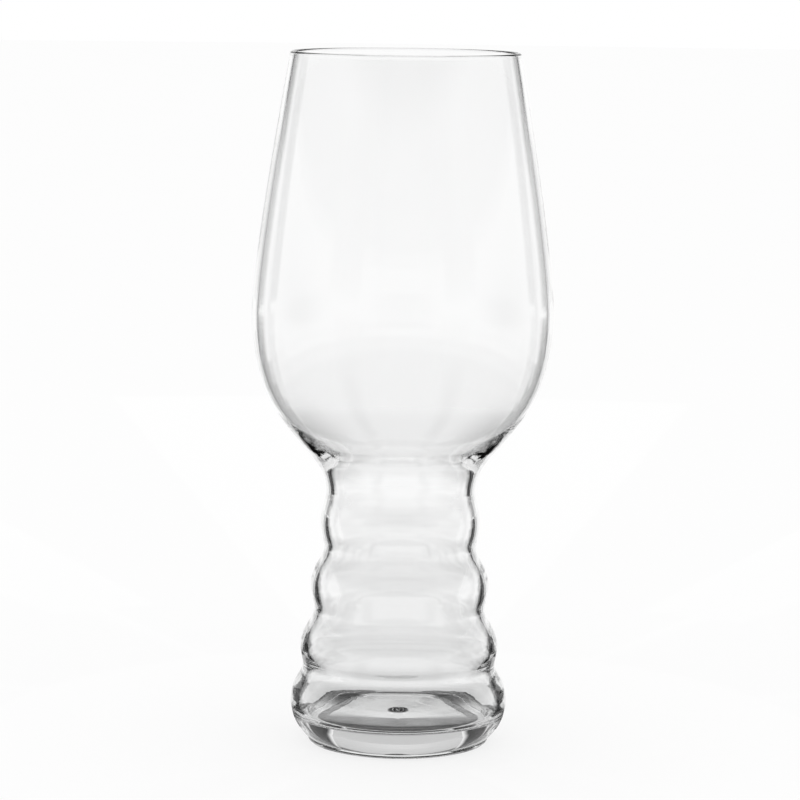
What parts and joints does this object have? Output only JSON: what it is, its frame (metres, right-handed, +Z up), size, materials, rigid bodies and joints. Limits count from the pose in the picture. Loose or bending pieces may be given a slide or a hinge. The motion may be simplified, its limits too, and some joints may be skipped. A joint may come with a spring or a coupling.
{
  "type": "beer glass",
  "caption": "Tall clear beer glass with a wide bowl that narrows to the rim, a hollow stem of swelling rings and a heavy rounded foot.",
  "frame": {"origin": "centre of the ring that the glass stands on, at table height", "axes": "+Z up along the glass's own axis, from the foot to the rim; +X and +Y alike, because the glass is round"},
  "size_m": [0.083, 0.083, 0.1911],
  "materials": {
    "bowl_glass": "clear, fire polished",
    "stem_glass": "clear, smooth from the mould",
    "foot_glass": "clear, thick, polished"
  },
  "bodies": {
    "root": {"bowl": "bowl_glass", "stem": "stem_glass", "foot": "foot_glass"}
  },
  "joints": []
}
